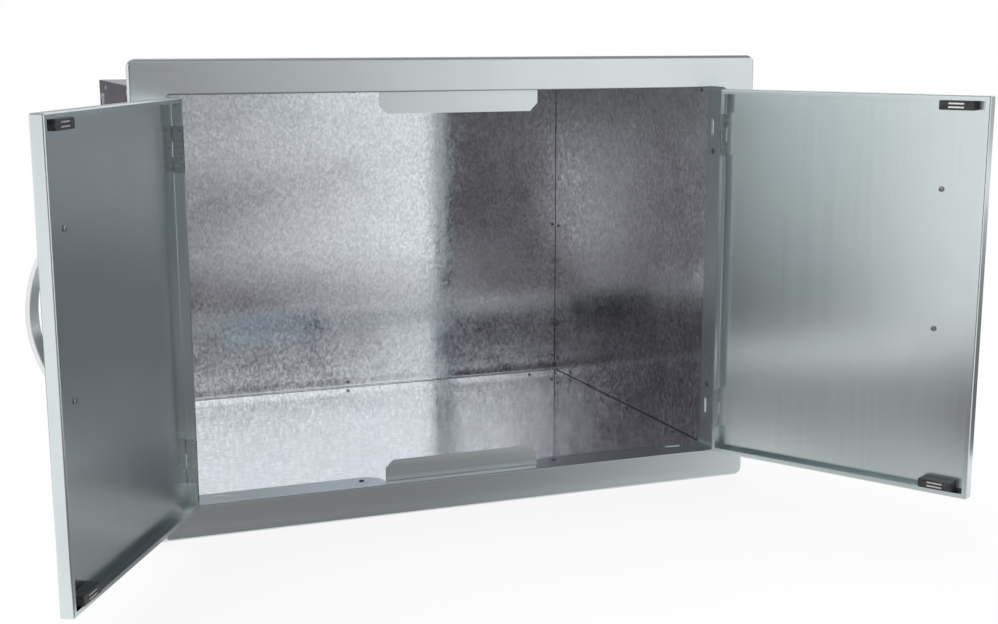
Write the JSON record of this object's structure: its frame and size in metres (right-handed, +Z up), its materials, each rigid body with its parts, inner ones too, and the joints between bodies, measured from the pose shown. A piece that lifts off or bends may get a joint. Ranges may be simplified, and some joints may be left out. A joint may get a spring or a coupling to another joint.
{
  "type": "outdoor kitchen cabinet",
  "caption": "Drop-in stainless trim frame with two outward-opening doors, bowed handles and magnetic catches, in front of a riveted galvanised storage box.",
  "frame": {"origin": "on the underside of the box, half way across, in the plane of the island's face", "axes": "+X to the right seen from the front, +Y into the island, +Z up"},
  "size_m": [1.0308, 0.8376, 0.5372],
  "materials": {
    "stainless_sheet": "satin",
    "galvanised_sheet": "spangled zinc coat",
    "rivet_metal": "plain",
    "screw_steel": "plain",
    "handle_steel": "polished",
    "hinge_steel": "satin",
    "catch_plastic": "moulded",
    "pole_steel": "bright",
    "ferrite": "dull"
  },
  "bodies": {
    "cabinet": {"back_floor_rivet_1": "rivet_metal", "back_floor_rivet_2": "rivet_metal", "back_floor_rivet_3": "rivet_metal", "back_panel": "galvanised_sheet", "floor_panel": "galvanised_sheet", "front_frame": "stainless_sheet", "left_floor_rivet_1": "rivet_metal", "left_floor_rivet_2": "rivet_metal", "left_floor_rivet_3": "rivet_metal", "left_jamb_rivet_1": "rivet_metal", "left_jamb_rivet_2": "rivet_metal", "left_lower_frame_leaf": "hinge_steel", "left_lower_hinge_pin": "hinge_steel", "left_side_panel": "galvanised_sheet", "left_upper_frame_leaf": "hinge_steel", "left_upper_hinge_pin": "hinge_steel", "lower_rail_rivet_1": "rivet_metal", "lower_rail_rivet_2": "rivet_metal", "right_floor_rivet_1": "rivet_metal", "right_floor_rivet_2": "rivet_metal", "right_floor_rivet_3": "rivet_metal", "right_jamb_rivet_1": "rivet_metal", "right_jamb_rivet_2": "rivet_metal", "right_lower_frame_leaf": "hinge_steel", "right_lower_hinge_pin": "hinge_steel", "right_side_panel": "galvanised_sheet", "right_upper_frame_leaf": "hinge_steel", "right_upper_hinge_pin": "hinge_steel", "top_panel": "galvanised_sheet", "upper_rail_rivet_1": "rivet_metal", "upper_rail_rivet_2": "rivet_metal"},
    "left_door": {"left_door_pan": "stainless_sheet", "left_handle": "handle_steel", "left_lower_catch_housing": "catch_plastic", "left_lower_catch_magnet": "ferrite", "left_lower_door_leaf": "hinge_steel", "left_lower_handle_screw": "screw_steel", "left_lower_pole_yoke": "pole_steel", "left_upper_catch_housing": "catch_plastic", "left_upper_catch_magnet": "ferrite", "left_upper_door_leaf": "hinge_steel", "left_upper_handle_screw": "screw_steel", "left_upper_pole_yoke": "pole_steel"},
    "right_door": {"right_door_pan": "stainless_sheet", "right_handle": "handle_steel", "right_lower_catch_housing": "catch_plastic", "right_lower_catch_magnet": "ferrite", "right_lower_door_leaf": "hinge_steel", "right_lower_handle_screw": "screw_steel", "right_lower_pole_yoke": "pole_steel", "right_upper_catch_housing": "catch_plastic", "right_upper_catch_magnet": "ferrite", "right_upper_door_leaf": "hinge_steel", "right_upper_handle_screw": "screw_steel", "right_upper_pole_yoke": "pole_steel"}
  },
  "joints": [
    {"name": "left_door_hinge", "type": "hinge", "parent": "cabinet", "child": "left_door", "pos_m": [-0.3413, -0.01, 0.2325], "axis": [0, 0, 1], "range_deg": [-50, 120]},
    {"name": "right_door_hinge", "type": "hinge", "parent": "cabinet", "child": "right_door", "pos_m": [0.3413, -0.01, 0.2325], "axis": [0, 0, -1], "range_deg": [-50, 120]}
  ]
}
